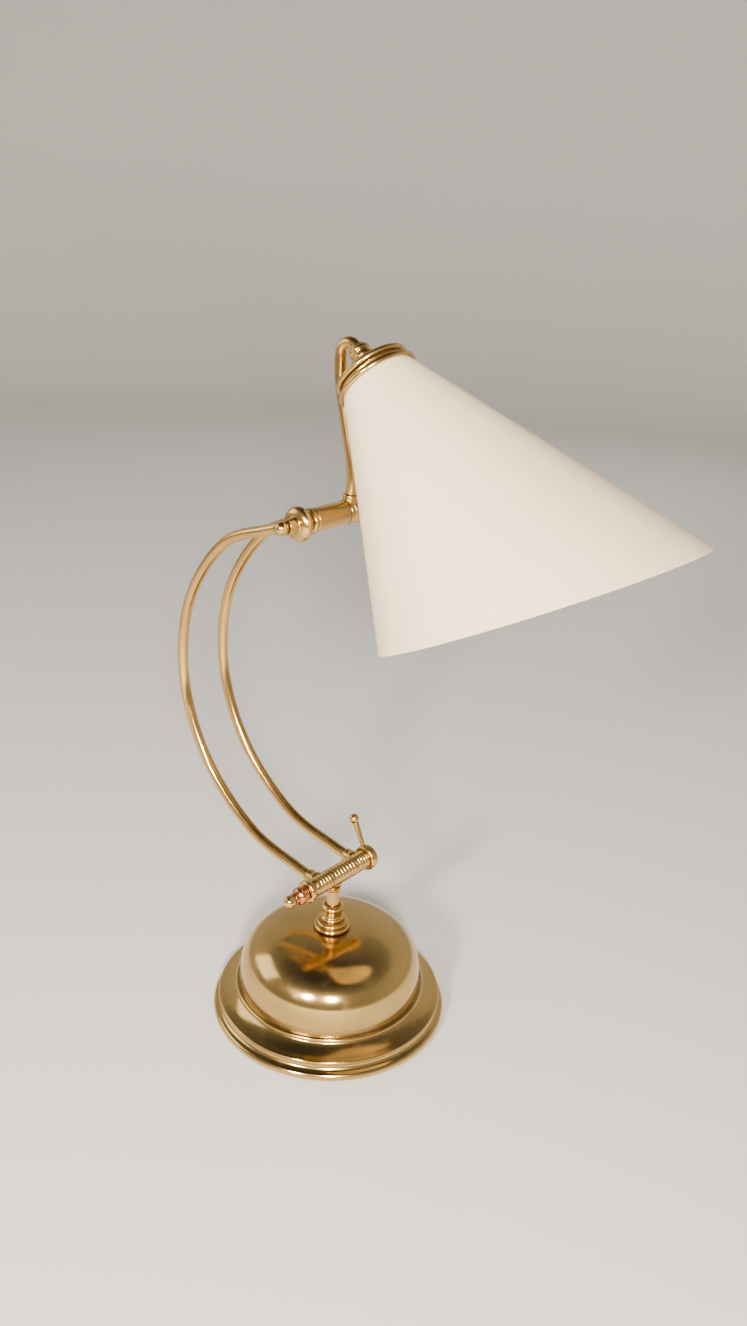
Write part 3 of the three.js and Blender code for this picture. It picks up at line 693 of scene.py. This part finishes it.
def cap():
    seat = HOOK_SEAT - 0.3
    hook_hole = ARM_RADIUS + 0.4
    ferrule = [
        (5.2, 15.8), (8.6, 15.8), (8.6, 17.4), (6.8, 18.6), (6.8, 20.4), (7.7, 21.2), (7.7, 23), (6.6, 24.2),
        (6, FERRULE_TOP), (hook_hole, FERRULE_TOP), (hook_hole, seat), (3.4, seat), (3.4, 19.6), (5.2, 19.6),
    ]
    mount(lathe("ferrule", ferrule, HEAD, GOLD, True, 64, 0.5), "head", BRASS_SLOT, "cap_ferrule")
    shell = [
        (23.8, 0.4), (24, 3.7), *bead(24.6, 6.2, 2.2, -80, 80, 12), (22.4, 9.4), (18, 11.7), (12.6, 13.7),
        (8.8, 15.4), (5.4, 15.4), (5.4, 14.1), (12, 12.4), (21.4, 8.3), (22.4, 6.2), (22.6, 0.4),
    ]
    mount(lathe("cap", shell, HEAD, GOLD, True, 128, 2.2), "head", BRASS_SLOT, "cap_shell")
    rim = [(27.2, -3.1), *bead(26.9, -1.2, 2.2, -50, 110, 16), (24.4, 0.9), (24.4, 0.35), (26, 0.35)]
    mount(lathe("cap_bead", rim, HEAD, GOLD, True, 128, 0.1), "head", BRASS_SLOT, "cap_rim")


def shade():
    """Cone of thin sheet with a slanted mouth, a folded top with a round hole, and a rounded edge."""
    slant = math.radians(MOUTH_SLANT)
    half = math.atan(SHADE_SLOPE)
    segments = 256
    rows = 40
    bm = bmesh.new()
    skins = []
    for skin in range(2):
        inset = skin * SHADE_WALL / math.cos(half)
        grid = []
        for i in range(segments):
            a = 2 * math.pi * i / segments
            ca, sa = math.cos(a), math.sin(a)
            full = SHADE_LENGTH * math.cos(slant) + SHADE_TOP_RADIUS * math.sin(slant) * ca
            full /= math.cos(slant) - SHADE_SLOPE * math.sin(slant) * ca
            start = skin * SHADE_WALL
            column = []
            for k in range(rows + 1):
                s = start + (full - start) * k / rows
                r = SHADE_TOP_RADIUS + s * SHADE_SLOPE - inset
                column.append(bm.verts.new((r * ca * MM, r * sa * MM, -s * MM)))
            hole = bm.verts.new((SHADE_HOLE * ca * MM, SHADE_HOLE * sa * MM, -start * MM))
            column.insert(0, hole)
            grid.append(column)
        skins.append(grid)
    for i in range(segments):
        j = (i + 1) % segments
        for grid in skins:
            for k in range(rows + 1):
                bm.faces.new([grid[i][k], grid[j][k], grid[j][k + 1], grid[i][k + 1]])
        for k in (0, -1):
            bm.faces.new([skins[0][i][k], skins[0][j][k], skins[1][j][k], skins[1][i][k]])
    bm.transform(HEAD)
    piece = finish_mesh("shade_cone", bm, UPRIGHT, ENAMEL)
    edge = piece.modifiers.new("edge", "BEVEL")
    edge.width = 0.35 * MM
    edge.segments = 3
    edge.limit_method = "ANGLE"
    edge.angle_limit = math.radians(45)
    mount(piece, "head", "ivory_paint", "shade")


def lampholder():
    nipple = [(STEM_BORE, 8.4), (4.9, 8.4), (4.9, 19.3), (STEM_BORE, 19.3)]
    mount(lathe("nipple", nipple, HEAD, GOLD, True, 48), "head", BRASS_SLOT, "lampholder_nipple")
    body = [
        (12.2, -24), (14.2, -24), (14.2, 0.4), (17.5, 0.4), (17.5, 3.6), (13.6, 8.6), (7.4, 11.4),
        (5.2, 11.4), (5.2, 10), (7, 10), (12.2, 7.2),
    ]
    mount(lathe("holder", body, HEAD, GOLD, True, 96, 0.5), "head", BRASS_SLOT, "lampholder_body")
    ring = [(14.5, -7), (18.4, -7), (20, -5.4), (20, -1.5), (14.5, -1.5)]
    clamp_ring = lathe("shade_ring", ring, HEAD, BAKELITE, True, 96, 0.5)
    mount(clamp_ring, "head", "black_bakelite", "lampholder_ring")
    metal = [(10.2, -31), (11, -31), (11, -8), (10, -6.4), (0, -6.4), (0, -7.6), (10.2, -7.6)]
    opened = metal[5:] + metal[:5]
    mount(lathe("bulb_base", opened, HEAD, BULB_METAL, False, 72), "head", "bulb_aluminium", "bulb_cap")


def bulb():
    def side(thin):
        ball = bead(0, BULB_MIDDLE, BULB_RADIUS - thin, -90, 34, 40)
        neck = [(20.5 - thin, -58.5), (16.6 - thin, -51.5), (13.5 - thin, -45), (11 - thin, -38)]
        return ball + neck + [(9.9 - thin, -34), (9.9 - thin, -9)]

    glass = side(0) + side(BULB_WALL)[::-1]
    mount(lathe("bulb", glass, HEAD, PEARL, False, 96, 3), "head", "pearl_glass", "bulb_glass")


base_shell()
cable_gland()
stem_foot()
lower_barrel()
upper_barrel()
ball_nut("front_ball", LOWER_NUT_MOUTH, LOWER, "stem", "lower_ball_nut")
ball_nut("drum_ball", UPPER_NUT_MOUTH, UPPER, "arm", "upper_ball_nut")
lever("lower", LOWER_AXIS, LOWER, LOWER_LEVER_FACE, LOWER_LEVER_LEAN, "lower_lever")
lever("upper", UPPER_AXIS, UPPER, UPPER_LEVER_FACE, UPPER_LEVER_LEAN, "upper_lever")
arm("arm_front", FRONT_ARM_Y, "arm_tube_front")
arm("arm_back", BACK_ARM_Y, "arm_tube_back")
crook()
cap()
shade()
lampholder()
bulb()

# ---- CAD nodes that show as they are ----
KEPT = {
    "base_weight": IRON, "base_plate": STEEL, "plate_screw_1": STEEL, "plate_screw_2": STEEL,
    "plate_screw_3": STEEL, "baize_pad": BAIZE, "stem_washer": STEEL, "stem_lock_nut": STEEL,
    "lower_rod": STEEL, "upper_rod": STEEL, "lampholder_insulator": PORCELAIN, "contact_pin_1": GOLD,
    "contact_pin_2": GOLD,
}
for node, material in KEPT.items():
    node_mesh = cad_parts[node].data
    node_mesh.materials.clear()
    node_mesh.materials.append(material)


# ---- floor and light, in metres ----
FLOOR_REACH = 2.4
WALL_REACH = 3.1
WALL_HEIGHT = 2.6
LAMP_MIDDLE = (0, 0, 0.25)


def add_floor():
    """Pale floor that sweeps up into a low wall all round, open to the sky."""
    n = Nodes("floor")
    place = n.place()
    n.link(n.mix(n.noise(place, 3, 4), (0.70, 0.69, 0.67), (0.73, 0.72, 0.70)), n.shader.inputs["Base Color"])
    n.bump(n.noise(place, 900, 3), 0.05, 0.0005)
    curve = WALL_REACH - FLOOR_REACH
    sweep = bead(FLOOR_REACH, curve, curve, -90, 0, 24)
    points = [(0, 0), (FLOOR_REACH / 3, 0), *sweep, (WALL_REACH, WALL_HEIGHT)]
    bm = lathe_mesh([(r / MM, h / MM) for r, h in points], 128, False)
    bmesh.ops.recalc_face_normals(bm, faces=bm.faces)
    bmesh.ops.reverse_faces(bm, faces=bm.faces)
    mesh = bpy.data.meshes.new("floor")
    bm.to_mesh(mesh)
    bm.free()
    mesh.shade_smooth()
    mesh.materials.append(n.settle(Roughness=0.75))
    floor = bpy.data.objects.new("floor", mesh)
    floor.location.z = -0.0003
    bpy.context.scene.collection.objects.link(floor)


def add_softbox(name, at, aim, size, power, colour):
    data = bpy.data.lights.new(name, "AREA")
    data.shape = "RECTANGLE"
    data.size, data.size_y = size
    data.energy = power
    data.color = colour
    light = bpy.data.objects.new(name, data)
    bpy.context.scene.collection.objects.link(light)
    light.location = at
    light.rotation_euler = (Vector(aim) - Vector(at)).to_track_quat("-Z", "Y").to_euler()
    return light


def add_world():
    """Dim sky over the pale walls, so that polished metal has something to mirror."""
    world = bpy.data.worlds.new("studio")
    bpy.context.scene.world = world
    world.use_nodes = True
    nodes, links = world.node_tree.nodes, world.node_tree.links
    place = nodes.new("ShaderNodeTexCoord")
    parts = nodes.new("ShaderNodeSeparateXYZ")
    ramp = nodes.new("ShaderNodeValToRGB")
    links.new(place.outputs["Generated"], parts.inputs[0])
    links.new(parts.outputs["Z"], ramp.inputs[0])
    ramp.color_ramp.elements[0].position = 0.5
    ramp.color_ramp.elements[0].color = (0.40, 0.38, 0.35, 1)
    ramp.color_ramp.elements[1].position = 0.95
    ramp.color_ramp.elements[1].color = (0.05, 0.05, 0.055, 1)
    links.new(ramp.outputs[0], nodes["Background"].inputs["Color"])
    nodes["Background"].inputs["Strength"].default_value = 1.2


add_floor()
add_world()
add_softbox("key", (0.97, -0.97, 0.84), LAMP_MIDDLE, (0.17, 0.21), 52, (1.0, 0.90, 0.78))
add_softbox("second", (0.36, -1.38, 0.84), LAMP_MIDDLE, (0.15, 0.21), 38, (1.0, 0.90, 0.78))
add_softbox("fill", (-1.5, -0.9, 1.0), LAMP_MIDDLE, (1.2, 1.0), 9, (1.0, 0.97, 0.94))
rim_light = add_softbox("rim", (-0.6, 1.7, 1.4), (0, 0, 0.3), (1.0, 0.6), 11, (1.0, 0.96, 0.9))
rim_light.visible_glossy = False
